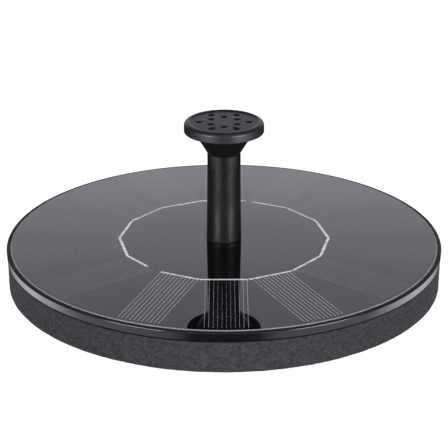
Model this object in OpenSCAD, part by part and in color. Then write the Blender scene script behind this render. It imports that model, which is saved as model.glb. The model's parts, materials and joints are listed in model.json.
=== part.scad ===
// Solar fountain pump: a floating disc with a ring of solar cells, a sealed brushless pump
// under its centre, and a spray head on an extension tube. Z = 0 is the foot of the
// strainer, the axis of the disc is Z, and everything is in millimetres.

/* [Floating disc] */
// Diameter of the disc
disc_d = 160; // [150:1:180]
// Height of the glossy band around the disc's edge
band_h = 3.8; // [3.5:0.1:5]
// Width of the tray's lip around the panel
lip_w = 1.2; // [0.8:0.1:2]
// Taper of the band, from its top to its bottom, on the radius
band_taper = 0.2; // [0:0.1:1]
// Thickness of the foam float
foam_t = 11.1; // [8:0.1:11.5]
// Diameter of the foam's hole, around the pump
foam_bore = 64; // [62:1:90]

/* [Solar panel] */
// Number of wedge-shaped cells in the ring
cell_count = 14; // [10:1:16]
// Distance from the centre to the corners of the ribbon ring
ribbon_r = 38.7; // [30:0.1:45]
// Width of the silver bus ribbons
ribbon_w = 1.0; // [0.6:0.1:1.6]
// Gap between neighbouring cells
cell_gap = 0.5; // [0.2:0.1:1]
// Thickness of the clear glaze
glaze_t = 1.05; // [0.8:0.05:1.5]
// Thickness of the circuit board under the cells
board_t = 1.0; // [0.8:0.1:1.6]

/* [Spray head] */
// Diameter of the spray disc
head_d = 29; // [28:0.5:34]
// Height of the spray disc
head_h = 3.9; // [3.5:0.1:5]
// Number of jets in each of the two rings
jet_count = 6; // [3:1:8]
// Diameter of each jet
jet_d = 1.4; // [0.8:0.1:1.8]
// Distance of the outer jets from the centre
outer_jet_r = 9.0; // [8.6:0.1:9.4]
// Distance of the inner jets from the centre
inner_jet_r = 5.5; // [4:0.1:6]
// Flare of the funnel's cone, from the vertical, in degrees
flare = 31.5; // [30:0.5:35]

/* [Tube] */
// Length of the extension tube that shows above the panel
tube_len = 27.4; // [20:0.1:60]
// Diameter of the tube at its top and of the funnel's stem
stem_d = 12.1; // [11:0.1:12.5]
// Diameter of the tube at its flared foot
foot_d = 12.85; // [12.6:0.05:14]
// Diameter of the waterway
water_d = 5.0; // [4:0.1:5.5]
// Outside diameter of the push-fit spigots
spigot_d = 8.0; // [7.6:0.1:8.2]
// Radial clearance of the push fits
push_gap = 0.08; // [0.05:0.01:0.1]

/* [Pump] */
// Diameter of the pump housing
pump_d = 48; // [48:1:54]
// Diameter of the volute around the impeller
volute_d = 25; // [24:0.5:26]
// Height of the volute
volute_h = 5.0; // [4.6:0.1:6]
// Outside diameter of the magnet
magnet_d = 11.8; // [11:0.1:12]
// Length of the magnet
magnet_len = 8.7; // [8:0.1:9.5]
// Number of impeller vanes
vane_count = 6; // [4:1:8]
// Twist that releases the strainer, in degrees
strainer_twist = 30; // [20:1:35]

/* [Hidden] */
$fn = 96;
eps = 0.01;

// Heights, from the strainer's foot up to the spray disc
strainer_t = 1.2;
sponge_t = 2.6;
cover_z = strainer_t + sponge_t + 0.2;
cover_t = 1.5;
volute_z = cover_z + cover_t;
web_z = volute_z + volute_h;
web_t = 1.5;
chamber_z = web_z + web_t;
rotor_top_z = web_z + magnet_len + 0.8;
can_roof_z = rotor_top_z + 0.7;
can_top_z = can_roof_z + 1.2;
potting_t = 0.7;
lid_z = can_top_z + potting_t;
lid_h = 3.9;
tray_z = lid_z + lid_h;
panel_z = tray_z + band_h;
glaze_z = panel_z - glaze_t;
ribbon_t = 0.07;
cell_t = 0.18;
cell_z = glaze_z - ribbon_t - cell_t;
board_z = cell_z - board_t;
spigot_h = 12;
spigot_top_z = panel_z + spigot_h;
tube_top_z = panel_z + tube_len;
waist_h = 12;
plug_h = 8;
funnel_h = 18.2;
head_top_z = tube_top_z + funnel_h;
head_z = head_top_z - head_h;

// Radii of the disc
disc_r = disc_d / 2;
tray_bore_r = disc_r - lip_w;
glaze_r = tray_bore_r - 0.2;
cell_outer_r = glaze_r - 1.6;
step_a = 360 / cell_count;
centre_hole_r = 6.2;

// Spray head and tube
stem_r = stem_d / 2;
spigot_r = spigot_d / 2;
socket_r = spigot_r + push_gap;
water_r = water_d / 2;
funnel_wall = 1.2;
funnel_slant = funnel_wall / cos(flare);
stem_h = 6.4;
cone_z = tube_top_z + stem_h;
plate_t = 1.6;
mouth_z = head_top_z - plate_t;
skirt_t = 1.2;
skirt_bore_r = head_d / 2 - skirt_t;
flange_t = 1.0;
pin_h = 1.2;

// Pump
pump_r = pump_d / 2;
neck_r = pump_r - 1.2;
neck_top_z = volute_z + 3.5;
volute_r = volute_d / 2;
magnet_r = magnet_d / 2;
can_r = magnet_r + 0.4;
can_wall = 0.8;
can_outer_r = can_r + can_wall;
duct_r = 2.8;
duct_ring_r = 18.2;
duct_x = volute_r - duct_r;
duct_y = sqrt(duct_ring_r * duct_ring_r - duct_x * duct_x);
duct_a = atan2(duct_y, duct_x);
chamber_r = pump_r - 1.7;
shaft_r = 1.0;
bush_gap = 0.05;
bush_r = 2.2;
sleeve_r = 3.4;
seat_r = 2.0;
eye_r = 5.6;
seal_r = neck_r - 1.3;
cover_screw_r = 17.6;
cover_screw_a = [160, 250, 340];
ear_r = 27.5;
ear_a = [20, 110, 200, 290];
ear_z = 19;
ear_t = 2;
boss_r = 2.8;
pilot_r = 1.1;

// Stator
tooth_count = 4;
yoke_r = 13.5;
yoke_wall = 1.9;
core_z = chamber_z + 1.5;
core_h = 4.6;
tooth_w = 3;
coil_t = 2.2;

// Rotor, shaft and seats
rotor_z = volute_z + 0.4;
bush_len = 2.6;
shroud_t = 0.9;
impeller_r = volute_r - 2;
vane_in_r = sleeve_r - 0.4;
vane_t = 0.9;
vane_sweep = 50;
seat_lower_z = cover_z + 0.3;
seat_upper_z = rotor_top_z + 0.4;
shaft_z = seat_lower_z + 0.3;
shaft_top_z = can_roof_z + 0.3;

// Wires
lead_r = 0.7;
lead_hole_r = 0.9;
lead_end_h = 0.6;
lead_positive_at = [-10, -8.5];
lead_negative_at = [-7.5, -10.8];

// Driver board
driver_z = can_top_z - 2.1;
driver_t = 1.0;
driver_top_z = driver_z + driver_t;

// Strainer
strainer_r = pump_r + 0.6;
strainer_bore_r = neck_r + 0.3;
strainer_h = neck_top_z - 0.3;
lug_count = 3;
lug_w = 8;
lug_z = volute_z + 1.1;
lug_h = 1.3;
lug_play = 1.0;

CELLS = [for (i = [1:cell_count]) str("solar_cell_", i < 10 ? "0" : "", i)];

black = "#1c1d20";
satin_black = "#26272b";

// Points of an arc, for rounded corners in turned profiles
function arc(cx, cy, r, a0, a1, n = 8) =
    [for (i = [0:n]) let (a = a0 + (a1 - a0) * i / n) [cx + r * cos(a), cy + r * sin(a)]];

// A washer or tube standing on z
module ring(r_out, r_in, z, h) {
    translate([0, 0, z])
        difference() {
            cylinder(r = r_out, h = h);
            translate([0, 0, -1]) cylinder(r = r_in, h = h + 2);
        }
}

// A plain disc or pin standing on z
module disc(r, z, h) {
    translate([0, 0, z]) cylinder(r = r, h = h);
}

// A sector of a ring, from angle a0 to a1, standing on z
module sector(r_out, r_in, a0, a1, z, h) {
    rotate([0, 0, a0])
        translate([0, 0, z])
            rotate_extrude(angle = a1 - a0) translate([r_in, 0]) square([r_out - r_in, h]);
}

// Children on a circle of radius r, at the listed angles
module around(r, angles) {
    for (a = angles) rotate([0, 0, a]) translate([r, 0, 0]) children();
}

function even_angles(n, start = 0) = [for (i = [0:n - 1]) start + i * 360 / n];

// ---- Spray head ----

module jet_hole(r, a) {
    sink = 0.35;
    rotate([0, 0, a])
        translate([r, 0, mouth_z - 1]) {
            cylinder(d = jet_d, h = plate_t + 2, $fn = 32);
            translate([0, 0, plate_t + 0.5])
                cylinder(d1 = jet_d, d2 = jet_d + 2 * sink, h = sink, $fn = 32);
        }
}

module spray_disc() {
    r = head_d / 2;
    round_r = 1.5;
    pin_tip_r = 1.2;
    pin_root_r = 2;
    color(satin_black)
        difference() {
            union() {
                rotate_extrude()
                    polygon(concat([[0, mouth_z], [skirt_bore_r, mouth_z],
                        [skirt_bore_r, head_z + 0.2], [skirt_bore_r + 0.2, head_z],
                        [r - 0.3, head_z], [r, head_z + 0.3]],
                        arc(r - round_r, head_top_z - round_r, round_r, 0, 90),
                        [[0, head_top_z]]));
                // Pin that spreads the water under the plate
                translate([0, 0, mouth_z - pin_h])
                    cylinder(r1 = pin_tip_r, r2 = pin_root_r, h = pin_h + eps);
            }
            for (i = [0:jet_count - 1]) {
                jet_hole(outer_jet_r, i * 360 / jet_count);
                jet_hole(inner_jet_r, (i + 0.5) * 360 / jet_count);
            }
        }
}

// A stem that pushes onto the tube, and a cone whose flange plugs into the disc's skirt
module nozzle_funnel() {
    flange_z = mouth_z - flange_t;
    flange_r = skirt_bore_r - push_gap;
    bore_z = tube_top_z + plug_h + 0.3;
    lip_z = bore_z + 0.8;
    cone_r = stem_r + (flange_z - cone_z) * tan(flare);
    lip_r = stem_r + (lip_z - cone_z) * tan(flare) - funnel_slant;
    mouth_r = stem_r + (mouth_z - cone_z) * tan(flare) - funnel_slant;
    color(black)
        rotate_extrude()
            polygon([[socket_r, tube_top_z + 0.3], [socket_r + 0.3, tube_top_z],
                [stem_r - 0.3, tube_top_z], [stem_r, tube_top_z + 0.3], [stem_r, cone_z],
                [cone_r, flange_z], [flange_r, flange_z], [flange_r, mouth_z - 0.2],
                [flange_r - 0.2, mouth_z], [mouth_r, mouth_z], [lip_r, lip_z],
                [water_r, lip_z], [water_r, bore_z], [socket_r, bore_z]]);
}

module extension_tube() {
    waist_z = panel_z + waist_h;
    waist_r = stem_r + 0.2;
    foot_r = foot_d / 2;
    plug_top_z = tube_top_z + plug_h;
    color(black)
        rotate_extrude()
            polygon([[socket_r + 0.4, panel_z], [foot_r - 0.2, panel_z], [foot_r, panel_z + 0.2],
                [foot_r, panel_z + 1.2], [waist_r, waist_z], [stem_r, tube_top_z - 0.3],
                [stem_r - 0.3, tube_top_z], [spigot_r, tube_top_z],
                [spigot_r, plug_top_z - 0.5], [spigot_r - 0.4, plug_top_z], [water_r, plug_top_z],
                [water_r, spigot_top_z + 0.4], [socket_r, spigot_top_z + 0.4],
                [socket_r, panel_z + 0.4]]);
}

// ---- Solar panel ----

module panel_glaze() {
    bevel = 0.35;
    color("#30323a", 0.4)
        rotate_extrude()
            polygon([[centre_hole_r, glaze_z], [glaze_r, glaze_z], [glaze_r, panel_z - bevel],
                [glaze_r - bevel, panel_z], [centre_hole_r, panel_z]]);
}

// One wedge between two radial edges: a straight inner edge under the ribbon, a round outer one
module solar_cell(i) {
    apothem = ribbon_r * cos(step_a / 2) - ribbon_w / 2;
    half_gap = cell_gap / 2;
    reach = disc_r;
    spread = reach * tan(step_a / 2);
    inner = apothem * tan(step_a / 2);
    back_off = half_gap / cos(step_a / 2);
    color("#15161b")
        rotate([0, 0, -90 + i * step_a])
            translate([0, 0, cell_z])
                intersection() {
                    cylinder(r = cell_outer_r, h = cell_t);
                    translate([0, 0, -1])
                        linear_extrude(cell_t + 2)
                            polygon([[apothem, back_off - inner], [reach, back_off - spread],
                                [reach, spread - back_off], [apothem, inner - back_off]]);
                }
}

module bus_ribbons() {
    side = 2 * ribbon_r * sin(step_a / 2);
    apothem = ribbon_r * cos(step_a / 2);
    // The string's two ends stay apart at one corner, and it has a smaller break near the back
    last = cell_count - 1;
    back = floor(cell_count / 2) - 1;
    joint = 0.15;
    color("silver")
        for (i = [0:last]) {
            start_cut = i == last ? 2 : joint;
            end_cut = i == last - 1 ? 5 : i == back ? 2.6 : joint;
            rotate([0, 0, -90 + i * step_a])
                translate([apothem - ribbon_w / 2, start_cut - side / 2, cell_z + cell_t])
                    cube([ribbon_w, side - start_cut - end_cut, ribbon_t]);
        }
}

module panel_board() {
    color("#101114")
        difference() {
            ring(tray_bore_r - 0.4, centre_hole_r, board_z, board_t);
            // Blind holes from below, where the two supply leads are soldered
            for (at = [lead_positive_at, lead_negative_at])
                translate([at[0], at[1], board_z - 1]) cylinder(r = lead_hole_r, h = 1 + lead_end_h);
        }
}

// ---- Float ----

module float_tray() {
    rib_r = foam_bore / 2 - 0.4;
    edge = 0.25;
    color(black)
        difference() {
            union() {
                rotate_extrude()
                    polygon([[centre_hole_r, tray_z], [disc_r - band_taper - edge, tray_z],
                        [disc_r - band_taper, tray_z + edge], [disc_r, panel_z - edge],
                        [disc_r - edge, panel_z], [tray_bore_r + edge, panel_z],
                        [tray_bore_r, panel_z - edge], [tray_bore_r, board_z],
                        [centre_hole_r, board_z]]);
                ring(rib_r, rib_r - 1.1, tray_z - 4, 4 + eps);
                around(ear_r, ear_a) disc(boss_r, ear_z + ear_t, tray_z - ear_z - ear_t + eps);
            }
            around(ear_r, ear_a) disc(pilot_r, ear_z, 5 + ear_t);
            for (at = [lead_positive_at, lead_negative_at])
                translate([at[0], at[1], tray_z - 1]) cylinder(r = lead_hole_r, h = 5);
        }
}

module foam_float() {
    r = disc_r - band_taper - 0.1;
    bore = foam_bore / 2;
    foam_z = tray_z - foam_t;
    soft = 0.4;
    color("#37383c")
        rotate_extrude()
            polygon(concat([[bore, tray_z], [bore, foam_z + soft]],
                arc(bore + soft, foam_z + soft, soft, 180, 270),
                arc(r - soft, foam_z + soft, soft, 270, 360),
                arc(r - soft / 2, tray_z - soft / 2, soft / 2, 0, 90)));
}

// ---- Pump ----

// Lid of the motor chamber, with the waterway from the duct to the spigot
module outlet_manifold() {
    floor_t = 0.8;
    channel_h = lid_h - 2 * floor_t;
    channel_w = 6.4;
    base_r = 4.6;
    chamfer = 0.4;
    sump_z = 0.7;
    color(black)
        difference() {
            rotate_extrude()
                polygon([[0, lid_z], [pump_r, lid_z], [pump_r, tray_z], [base_r, tray_z],
                    [base_r, board_z], [spigot_r, board_z], [spigot_r, spigot_top_z - chamfer],
                    [spigot_r - chamfer, spigot_top_z], [water_r, spigot_top_z],
                    [water_r, lid_z + sump_z], [0, lid_z + sump_z]]);
            // Channel in the lid, and the hole up from the duct
            rotate([0, 0, duct_a]) {
                translate([-1, -channel_w / 2, lid_z + floor_t])
                    cube([duct_ring_r + 1, channel_w, channel_h]);
                translate([duct_ring_r, 0, lid_z + floor_t])
                    cylinder(r = channel_w / 2 + 0.05, h = channel_h);
                translate([duct_ring_r, 0, lid_z - 1]) cylinder(r = duct_r, h = 2.5);
            }
            for (at = [lead_positive_at, lead_negative_at])
                translate([at[0], at[1], lid_z - 1]) cylinder(r = lead_hole_r, h = lid_h + 2);
        }
}

// Rubber grommet that seals the spigot in the tray
module outlet_seal() {
    inner = 4.7;
    outer = centre_hole_r - 0.1;
    soft = 0.3;
    h = board_z - tray_z;
    color("#0c0c0d")
        rotate_extrude()
            polygon(concat(arc(inner + soft, tray_z + soft, soft, 180, 270, 4),
                arc(outer - soft, tray_z + soft, soft, 270, 360, 4),
                arc(outer - soft, tray_z + h - soft, soft, 0, 90, 4),
                arc(inner + soft, tray_z + h - soft, soft, 90, 180, 4)));
}

module pump_ear() {
    translate([0, 0, ear_z]) cylinder(r = boss_r, h = ear_t);
    translate([-boss_r - 2.5, -boss_r, ear_z]) cube([boss_r + 2.5, 2 * boss_r, ear_t]);
}

module pump_body() {
    color(black)
        difference() {
            union() {
                rotate_extrude()
                    polygon([[0, volute_z], [neck_r, volute_z], [neck_r, neck_top_z],
                        [pump_r - 0.4, neck_top_z], [pump_r, neck_top_z + 0.4], [pump_r, lid_z],
                        [0, lid_z]]);
                around(ear_r, ear_a) pump_ear();
                for (a = even_angles(lug_count))
                    sector(strainer_r - 0.2, neck_r - 1, a, a + lug_w, lug_z, lug_h);
            }
            // Volute and its tangential outlet
            disc(volute_r, volute_z - 1, volute_h + 1);
            translate([duct_x - duct_r, 0, volute_z - 1]) cube([2 * duct_r, duct_y, volute_h + 1]);
            translate([duct_x, duct_y, volute_z - 1]) cylinder(r = duct_r, h = lid_z - volute_z + 2);
            // Rotor can, open at the bottom, with a pocket for the upper shaft seat
            disc(can_r, web_z - 1, can_roof_z - web_z + 1);
            disc(seat_r, can_roof_z - 1, 1.6);
            // Motor chamber around the can and the duct
            difference() {
                ring(chamber_r, can_outer_r, chamber_z, lid_z - chamber_z + 1);
                translate([duct_x, duct_y, chamber_z - 1])
                    cylinder(r = duct_r + 1, h = lid_z - chamber_z + 3);
            }
            disc(can_outer_r + eps, can_top_z, lid_z - can_top_z + 1);
            around(ear_r, ear_a) disc(pilot_r + 0.2, ear_z - 1, ear_t + 2);
            around(cover_screw_r, cover_screw_a) disc(pilot_r, volute_z - 1, 5);
            ring(seal_r + 0.55, seal_r - 0.55, volute_z - 1, 1.8);
        }
}

// Screws from below, through the ears of the pump body into the tray's bosses
module housing_screws() {
    head_r = 2.3;
    head_t = 1.6;
    color("silver")
        around(ear_r, ear_a)
            difference() {
                union() {
                    disc(pilot_r - 0.05, ear_z - eps, 6);
                    translate([0, 0, ear_z - head_t]) {
                        cylinder(r1 = head_r - 0.4, r2 = head_r, h = 0.5);
                        translate([0, 0, 0.5]) cylinder(r = head_r, h = head_t - 0.5);
                    }
                }
                for (a = [0, 90])
                    rotate([0, 0, a])
                        translate([-1.3, -0.3, ear_z - head_t - 1]) cube([2.6, 0.6, 1.8]);
            }
}

// Resin poured over the driver, which keeps water out of the motor chamber
module potting_seal() {
    color("#1a1a1e")
        difference() {
            disc(chamber_r - 0.05, can_top_z, potting_t);
            translate([duct_x, duct_y, can_top_z - 1]) cylinder(r = duct_r + 1.05, h = potting_t + 2);
            for (at = [lead_positive_at, lead_negative_at])
                translate([at[0], at[1], can_top_z - 1]) cylinder(r = lead_hole_r, h = potting_t + 2);
        }
}

module driver_board() {
    color("#1f5c34")
        difference() {
            ring(chamber_r - 0.8, can_outer_r + 0.3, driver_z, driver_t);
            translate([duct_x, duct_y, driver_z - 1]) cylinder(r = duct_r + 1.4, h = driver_t + 2);
        }
}

module driver_chip() {
    pin_count = 4;
    pitch = 1.27;
    color("#151515") translate([10, -6.5, driver_top_z + 0.15]) cube([4.9, 3.9, 0.85]);
    color("silver")
        for (i = [0:pin_count - 1], side = [-0.85, 3.9 - eps])
            translate([10.35 + i * pitch, -6.5 + side, driver_top_z]) cube([0.4, 0.85, 0.4]);
}

// Hall switch beside the can, which tells the driver where the magnet's poles are
module hall_sensor() {
    color("#151515") translate([-10.6, 2.6, driver_top_z + 0.1]) cube([1.5, 2.9, 0.9]);
    color("silver")
        for (y = [0.25, 2.15])
            translate([-9.1 - eps, 2.6 + y, driver_top_z]) cube([0.6, 0.4, 0.35]);
}

module capacitors() {
    color("#b08a5a")
        for (at = [[-14, 3, 90], [12, -12, 30], [-3, 14.5, 0]])
            translate([at[0], at[1], driver_top_z])
                rotate([0, 0, at[2]]) translate([-1.6, -0.8, 0]) cube([3.2, 1.6, 1.0]);
}

// A supply lead from the panel's board down to the driver board
module supply_lead(at, tint) {
    color(tint)
        translate([at[0], at[1], driver_top_z])
            cylinder(r = lead_r, h = board_z + lead_end_h - driver_top_z);
}

module lead_positive() {
    supply_lead(lead_positive_at, "#b3261e");
}

module lead_negative() {
    supply_lead(lead_negative_at, "#1b1b1b");
}

module stator_core() {
    shoe_in = can_outer_r + 0.2;
    color("#8d9094") {
        ring(yoke_r, yoke_r - yoke_wall, core_z, core_h);
        for (a = even_angles(tooth_count, 45)) {
            rotate([0, 0, a])
                translate([shoe_in + 0.6, -tooth_w / 2, core_z])
                    cube([yoke_r - yoke_wall - shoe_in - 0.4, tooth_w, core_h]);
            sector(shoe_in + 0.9, shoe_in, a - 34, a + 34, core_z, core_h);
        }
    }
}

module stator_coils() {
    coil_in = can_outer_r + 1.4;
    coil_half_w = tooth_w / 2 + coil_t;
    coil_len = sqrt(pow(yoke_r - yoke_wall - 0.1, 2) - pow(coil_half_w, 2)) - coil_in;
    over = 1.2;
    color("#b5651d")
        for (a = even_angles(tooth_count, 45))
            rotate([0, 0, a])
                translate([coil_in, 0, 0])
                    difference() {
                        translate([0, -coil_half_w, core_z - over])
                            cube([coil_len, 2 * coil_half_w, core_h + 2 * over]);
                        translate([-1, -tooth_w / 2 - 0.05, core_z - 0.05])
                            cube([coil_len + 2, tooth_w + 0.1, core_h + 0.1]);
                    }
}

// ---- Rotor ----

module rotor_magnet() {
    color("#3b3b40")
        ring(magnet_r, sleeve_r, web_z + 0.6, rotor_top_z - web_z - 0.8);
}

// One side of a vane that curves back from the hub, from its inner end out or the other way
function vane_side(side, steps) =
    [for (i = steps)
        let (t = i / 6, r = vane_in_r + t * (impeller_r - 0.3 - vane_in_r))
        let (a = -vane_sweep * t + side * vane_t / 2 / r * 180 / PI)
        [r * cos(a), r * sin(a)]];

module impeller() {
    shroud_z = web_z - 0.4 - shroud_t;
    color("#e4e2dc")
        difference() {
            union() {
                disc(impeller_r, shroud_z, shroud_t);
                disc(sleeve_r, rotor_z, rotor_top_z - rotor_z);
                disc(magnet_r - 0.3, shroud_z + shroud_t / 2, shroud_t / 2 + 1);
                for (a = even_angles(vane_count))
                    rotate([0, 0, a])
                        translate([0, 0, rotor_z])
                            linear_extrude(shroud_z - rotor_z + shroud_t / 3)
                                polygon(concat(vane_side(-1, [0:6]), vane_side(1, [6:-1:0])));
            }
            disc(bush_r, rotor_z - 1, bush_len + 1);
            disc(bush_r, rotor_top_z - bush_len, bush_len + 1);
            disc(shaft_r + 0.5, rotor_z, rotor_top_z - rotor_z);
        }
}

module rotor_bush(z) {
    color("#6d6a63") ring(bush_r, shaft_r + bush_gap, z, bush_len);
}

module rotor_bush_upper() {
    rotor_bush(rotor_top_z - bush_len);
}

module rotor_bush_lower() {
    rotor_bush(rotor_z);
}

module rotor_shaft() {
    color("#efeee9") disc(shaft_r, shaft_z, shaft_top_z - shaft_z);
}

// A rubber cup that holds one end of the ceramic shaft
module shaft_seat_upper() {
    color("#161616")
        difference() {
            disc(seat_r, seat_upper_z, can_roof_z + 0.6 - seat_upper_z);
            disc(shaft_r, seat_upper_z - 1, shaft_top_z - seat_upper_z + 1);
        }
}

module shaft_seat_lower() {
    color("#161616")
        difference() {
            disc(seat_r, seat_lower_z, volute_z - seat_lower_z);
            disc(shaft_r, shaft_z, volute_z - shaft_z + 1);
        }
}

module volute_cover() {
    hub_r = 3.0;
    spoke_w = 1.2;
    head_r = 2.0;
    color(black)
        difference() {
            union() {
                ring(neck_r - 0.2, eye_r, cover_z, cover_t);
                disc(hub_r, cover_z, cover_t);
                for (a = even_angles(3, 30))
                    rotate([0, 0, a])
                        translate([hub_r - 0.5, -spoke_w / 2, cover_z])
                            cube([eye_r - hub_r + 1, spoke_w, cover_t]);
            }
            disc(seat_r, seat_lower_z, cover_t);
            around(cover_screw_r, cover_screw_a) {
                disc(head_r, cover_z - 1, 2);
                disc(pilot_r + 0.1, cover_z - 1, cover_t + 2);
            }
        }
}

module volute_seal() {
    color("#0c0c0d") ring(seal_r + 0.5, seal_r - 0.5, volute_z, 0.8);
}

module volute_screws() {
    color("silver")
        around(cover_screw_r, cover_screw_a)
            difference() {
                union() {
                    disc(1.9, cover_z + 0.1, 0.9);
                    disc(pilot_r - 0.05, cover_z + 0.9, 4.5);
                }
                for (a = [0, 90])
                    rotate([0, 0, a])
                        translate([-1.1, -0.25, cover_z - 1]) cube([2.2, 0.5, 1.6]);
            }
}

// ---- Strainer ----

module filter_sponge() {
    color("#2c2c2e") disc(strainer_bore_r - 0.8, strainer_t, sponge_t);
}

module strainer_cover() {
    side_slots = 24;
    slot_w = 1.8;
    // Radius of each circle of inlet holes, and how many it has
    rings = [[5, 6], [10, 12], [15.5, 18]];
    slot_h = 2.4;
    inlet_r = 1.2;
    window_h = lug_h + 0.6;
    edge = 0.6;
    color(black)
        difference() {
            rotate_extrude()
                polygon([[0, 0], [strainer_r - edge, 0], [strainer_r, edge],
                    [strainer_r, strainer_h], [strainer_bore_r, strainer_h],
                    [strainer_bore_r, strainer_t], [0, strainer_t]]);
            // Inlet holes in the floor, one at the centre and three circles of them
            disc(inlet_r, -1, strainer_t + 2);
            for (ring_of = rings)
                around(ring_of[0], even_angles(ring_of[1]))
                    disc(inlet_r, -1, strainer_t + 2);
            // Slots up the wall
            for (a = even_angles(side_slots, 7.5))
                rotate([0, 0, a])
                    translate([strainer_bore_r - 2, -slot_w / 2, strainer_t + 0.4])
                        cube([4, slot_w, slot_h]);
            // Bayonet windows, and the way in from the top edge at the released end
            for (a = even_angles(lug_count)) {
                sector(strainer_r + 1, strainer_bore_r - 1, a - lug_play - strainer_twist,
                    a + lug_w + lug_play, lug_z - 0.3, window_h);
                sector(strainer_r + 1, strainer_bore_r - 1, a - lug_play - strainer_twist,
                    a + lug_w + lug_play - strainer_twist, lug_z - 0.3, strainer_h);
            }
        }
}

spray_disc();
nozzle_funnel();
extension_tube();
panel_glaze();
for (i = [0:cell_count - 1]) solar_cell(i);
bus_ribbons();
panel_board();
float_tray();
foam_float();
outlet_manifold();
outlet_seal();
pump_body();
housing_screws();
potting_seal();
driver_board();
driver_chip();
hall_sensor();
capacitors();
lead_positive();
lead_negative();
stator_core();
stator_coils();
rotor_magnet();
impeller();
rotor_bush_upper();
rotor_bush_lower();
rotor_shaft();
shaft_seat_upper();
shaft_seat_lower();
volute_cover();
volute_seal();
volute_screws();
filter_sponge();
strainer_cover();
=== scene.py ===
"""Looks for the solar fountain pump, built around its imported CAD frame.

Units are metres. +Z is up along the tube, and the camera stands on the -Y side.
"""
import json
import math

import bmesh
import bpy
from mathutils import Matrix, Vector, noise


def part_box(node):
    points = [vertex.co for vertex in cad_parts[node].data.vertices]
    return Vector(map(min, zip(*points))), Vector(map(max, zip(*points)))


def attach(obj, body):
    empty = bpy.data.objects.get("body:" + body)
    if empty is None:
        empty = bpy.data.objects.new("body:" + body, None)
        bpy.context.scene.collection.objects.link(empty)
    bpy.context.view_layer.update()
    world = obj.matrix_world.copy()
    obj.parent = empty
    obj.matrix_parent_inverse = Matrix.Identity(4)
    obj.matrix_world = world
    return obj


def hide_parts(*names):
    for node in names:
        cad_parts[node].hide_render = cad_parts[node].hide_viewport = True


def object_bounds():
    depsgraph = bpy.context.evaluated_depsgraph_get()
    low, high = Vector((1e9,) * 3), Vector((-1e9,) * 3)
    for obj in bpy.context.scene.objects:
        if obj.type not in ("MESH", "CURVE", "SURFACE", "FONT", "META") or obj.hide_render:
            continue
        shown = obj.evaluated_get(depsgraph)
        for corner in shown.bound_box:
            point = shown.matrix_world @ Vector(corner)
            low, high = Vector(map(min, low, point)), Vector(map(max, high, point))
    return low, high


MM = 0.001

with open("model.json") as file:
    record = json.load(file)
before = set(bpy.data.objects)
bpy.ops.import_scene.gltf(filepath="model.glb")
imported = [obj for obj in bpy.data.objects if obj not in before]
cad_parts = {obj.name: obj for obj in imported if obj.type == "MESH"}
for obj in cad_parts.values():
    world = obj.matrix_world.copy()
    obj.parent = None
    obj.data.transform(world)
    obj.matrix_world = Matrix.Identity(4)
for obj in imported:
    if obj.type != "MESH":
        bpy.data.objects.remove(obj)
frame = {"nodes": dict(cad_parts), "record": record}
cad_low, cad_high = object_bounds()

# ---- Sizes that come from the frame -------------------------------------------------------

TOP_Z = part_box("panel_glaze")[1].z
GLAZE_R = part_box("panel_glaze")[1].x
CELL_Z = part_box("solar_cell_01")[0].z
BOARD_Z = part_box("panel_board")[0].z
TRAY_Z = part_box("foam_float")[1].z
TRAY_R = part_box("float_tray")[1].x
FOAM_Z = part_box("foam_float")[0].z
FOAM_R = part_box("foam_float")[1].x
TUBE_LOW, TUBE_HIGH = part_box("extension_tube")
FUNNEL_LOW, FUNNEL_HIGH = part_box("nozzle_funnel")
HEAD_LOW, HEAD_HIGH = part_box("spray_disc")
CELLS = sorted(n for n in frame["nodes"] if n.startswith("solar_cell_"))

CELL_STEP = 2 * math.pi / len(CELLS)

# Sizes of the design that the boxes don't give, in millimetres
RIBBON_R = 38.7
STEM_R = 6.05
PLUG_R = 4.0
SOCKET_R = 4.08
WATER_R = 2.5
FUNNEL_FLARE_DEG = 31.5
PANEL_HOLE_R = 6.25
TRAY_HOLE_R = 6.2
FOAM_BORE_R = 32.0

RIM_STEPS = 256
SHARP_DEG = 35


# ---- Mesh helpers -------------------------------------------------------------------------

def new_object(name, mesh):
    piece = bpy.data.objects.new(name, mesh)
    bpy.context.scene.collection.objects.link(piece)
    return piece


def finish_mesh(bm, name):
    """Turns a bmesh into a smooth-shaded object that keeps its hard edges."""
    bmesh.ops.recalc_face_normals(bm, faces=bm.faces)
    mesh = bpy.data.meshes.new(name)
    bm.to_mesh(mesh)
    bm.free()
    mesh.shade_smooth()
    mesh.set_sharp_from_angle(angle=math.radians(SHARP_DEG))
    piece = new_object(name, mesh)
    keep_flats_flat(piece)
    return piece


def applied(piece):
    """Replaces a piece's mesh with what its modifiers make of it."""
    bpy.context.view_layer.update()
    depsgraph = bpy.context.evaluated_depsgraph_get()
    mesh = bpy.data.meshes.new_from_object(piece.evaluated_get(depsgraph))
    piece.modifiers.clear()
    piece.data = mesh


def keep_flats_flat(piece):
    """Weights the normals by area, so a small fillet doesn't bend the light on a wide flat face."""
    weighting = piece.modifiers.new("weighted_normals", "WEIGHTED_NORMAL")
    weighting.keep_sharp = True
    applied(piece)


def rounded(points, steps=5):
    """A closed outline of (r, z, fillet) corners, in millimetres, as a list of (r, z) in metres."""
    outline = []
    count = len(points)
    for i, (r, z, fillet) in enumerate(points):
        here = Vector((r, z))
        if fillet <= 0:
            outline.append(here)
            continue
        before = (Vector(points[i - 1][:2]) - here).normalized()
        after = (Vector(points[(i + 1) % count][:2]) - here).normalized()
        half = before.angle(after) / 2
        reach = fillet / math.tan(half)
        centre = here + (before + after).normalized() * fillet / math.sin(half)
        start = here + before * reach - centre
        end = here + after * reach - centre
        for k in range(steps + 1):
            mix = start.lerp(end, k / steps)
            outline.append(centre + mix.normalized() * fillet)
    return [(p.x * MM, p.y * MM) for p in outline]


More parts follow.
